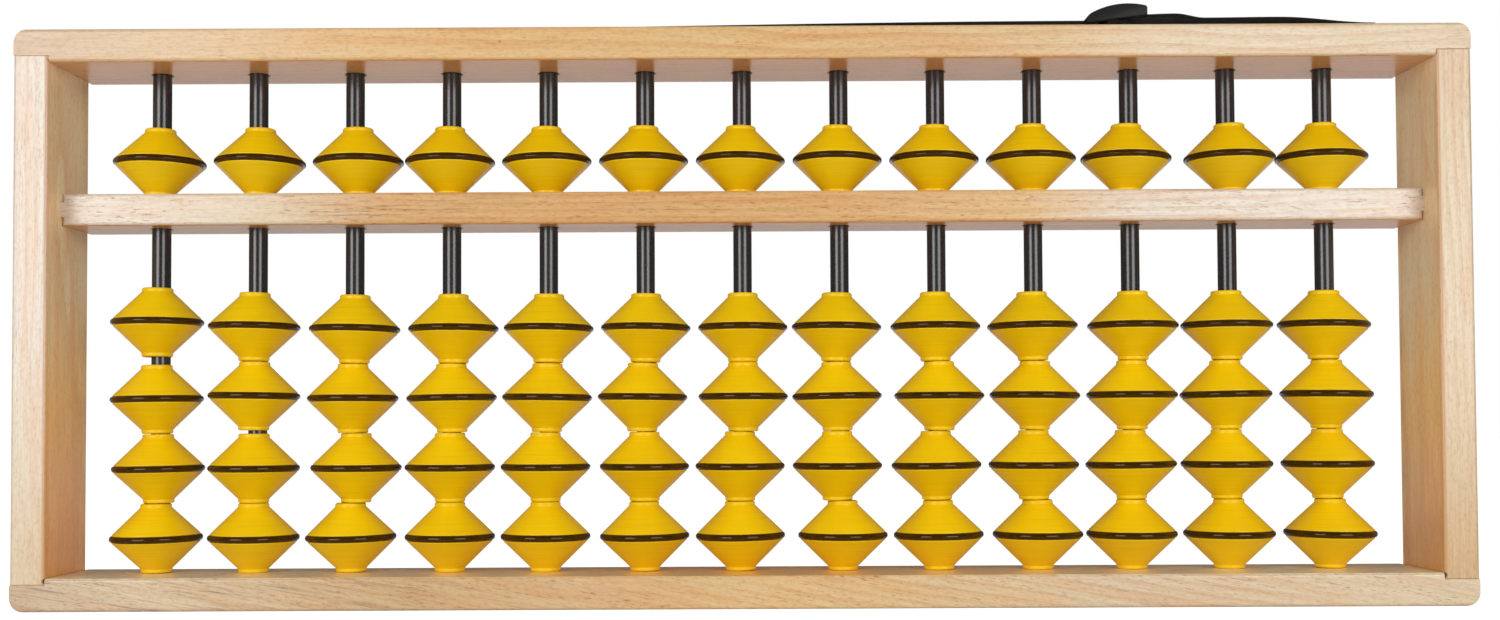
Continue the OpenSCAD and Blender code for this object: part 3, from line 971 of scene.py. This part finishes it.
def make_webbing(name, knots, width, origin, material):
    """A length of webbing swept along its line. The line is in millimetres from the origin."""
    line = eased_line(knots, WEB_STEP)
    section = web_section(width)
    rings, arc = [], [0.0]
    for i, p in enumerate(line):
        ahead = (line[min(i + 1, len(line) - 1)] - line[max(i - 1, 0)]).normalized()
        up = Vector((-ahead.y, ahead.x))
        rings.append([
            origin + Vector((p.x + up.x * s.y, s.x, p.y + up.y * s.y)) * MM for s in section
        ])
        if i:
            arc.append(arc[-1] + (p - line[i - 1]).length)
    bm = bmesh.new()
    weave = bm.loops.layers.uv.new("weave")
    verts = [[bm.verts.new(p) for p in ring] for ring in rings]
    count = len(section)
    girth = [0.0]
    for a, b in zip(section, [*section[1:], section[0]]):
        girth.append(girth[-1] + (b - a).length)
    for i in range(len(rings) - 1):
        for j in range(count):
            k = (j + 1) % count
            face = bm.faces.new((verts[i][j], verts[i + 1][j], verts[i + 1][k], verts[i][k]))
            spots = ((i, j), (i + 1, j), (i + 1, j + 1), (i, j + 1))
            for loop, (row, column) in zip(face.loops, spots):
                loop[weave].uv = (arc[row] * MM, girth[column] * MM)
            face.smooth = True
    for ring in (verts[0][::-1], verts[-1]):
        face = bm.faces.new(ring)
        for loop, s in zip(face.loops, section):
            loop[weave].uv = (s.y * MM, s.x * MM)
    bmesh.ops.recalc_face_normals(bm, faces=bm.faces)
    mesh = bpy.data.meshes.new(name)
    bm.to_mesh(mesh)
    bm.free()
    mesh.set_sharp_from_angle(angle=math.radians(50))
    mesh.materials.append(material)
    return link(bpy.data.objects.new(name, mesh))


def make_strap():
    """The webbing in two lengths. The long one comes along the rail from the left, climbs through
    the slider over its middle bar and ends in the tail. The short one starts under that bar and
    lies on the rail to its right end."""
    low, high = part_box("hanging_strap")
    slider_low, slider_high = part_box("strap_slider")
    rail_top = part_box("top_rail")[1].z
    slider_x = (slider_low.x + slider_high.x) / 2
    half = (slider_high.x - slider_low.x) / 2 / MM
    top = (slider_high.z - rail_top) / MM
    origin = Vector((slider_x, (low.y + high.y) / 2, rail_top))
    start = (low.x - slider_x) / MM
    finish = (high.x - slider_x) / MM
    width = (high.y - low.y) / MM

    flat = WEB_T / 2
    climb = flat + CLIMB_RISE

    def floor_at(x):
        return climb + flat + LOW_AIR + (x + half) * FLOOR_SLOPE

    over = top - flat - CROWN_DROP
    under = floor_at(half - END_BAR) - flat - TAIL_DROP
    long_knots = [
        (start, flat),
        (-CLIMB_RUN - 2 * half, flat),
        (-half - RUN_IN, climb),
        (END_BAR - half - TURN_IN, climb),
        (-MID_BAR / 2, over),
        (MID_BAR / 2 - TURN_IN, over),
        (half - END_BAR, under),
        (half + RUN_OUT, under + TAIL_SWELL),
        (half + RUN_OUT + RUN_DOWN, under - TAIL_SAG - TAIL_DIP),
        (TAIL_L - TAIL_FALL, under - TAIL_SAG),
        (TAIL_L, WEB_T * 1.5 + STRAP_AIR),
    ]
    short = floor_at(-MID_BAR / 2) - flat - STRAP_AIR
    short_knots = [
        (TURN_IN - MID_BAR / 2, short),
        (MID_BAR / 2 - TURN_IN, short),
        (half - END_BAR + TURN_IN, flat),
        (finish, flat),
    ]
    fabric = webbing_fabric()
    long_web = make_webbing("strap_long", long_knots, width, origin, fabric)
    short_web = make_webbing("strap_short", short_knots, width, origin, fabric)
    for piece in (long_web, short_web):
        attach(piece, "frame")
        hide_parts("hanging_strap")


def softened(node, name, radius, material):
    """A copy of a CAD node with its sharp edges rounded, as a moulding has them."""
    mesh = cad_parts[node].data.copy()
    bm = bmesh.new()
    bm.from_mesh(mesh)
    bmesh.ops.remove_doubles(bm, verts=bm.verts, dist=0.001 * MM)
    bmesh.ops.dissolve_limit(
        bm, angle_limit=math.radians(1), verts=bm.verts, edges=bm.edges, delimit=set()
    )
    bm.to_mesh(mesh)
    bm.free()
    obj = link(bpy.data.objects.new(name + "_source", mesh))
    bevel = obj.modifiers.new("bevel", "BEVEL")
    bevel.width = radius * MM
    bevel.segments = 3
    bevel.limit_method = "ANGLE"
    bevel.angle_limit = math.radians(25)
    made = baked(obj, name)
    made.data.shade_smooth()
    made.data.set_sharp_from_angle(angle=math.radians(35))
    made.data.materials.clear()
    made.data.materials.append(material)
    return made


def make_slider():
    slider = softened("strap_slider", "slider_moulding", SLIDER_EDGE_R, slider_plastic())
    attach(slider, "frame")
    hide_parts("strap_slider")


make_beads(yellow_plastic(), black_gloss())
finish_frame()
make_strap()
make_slider()
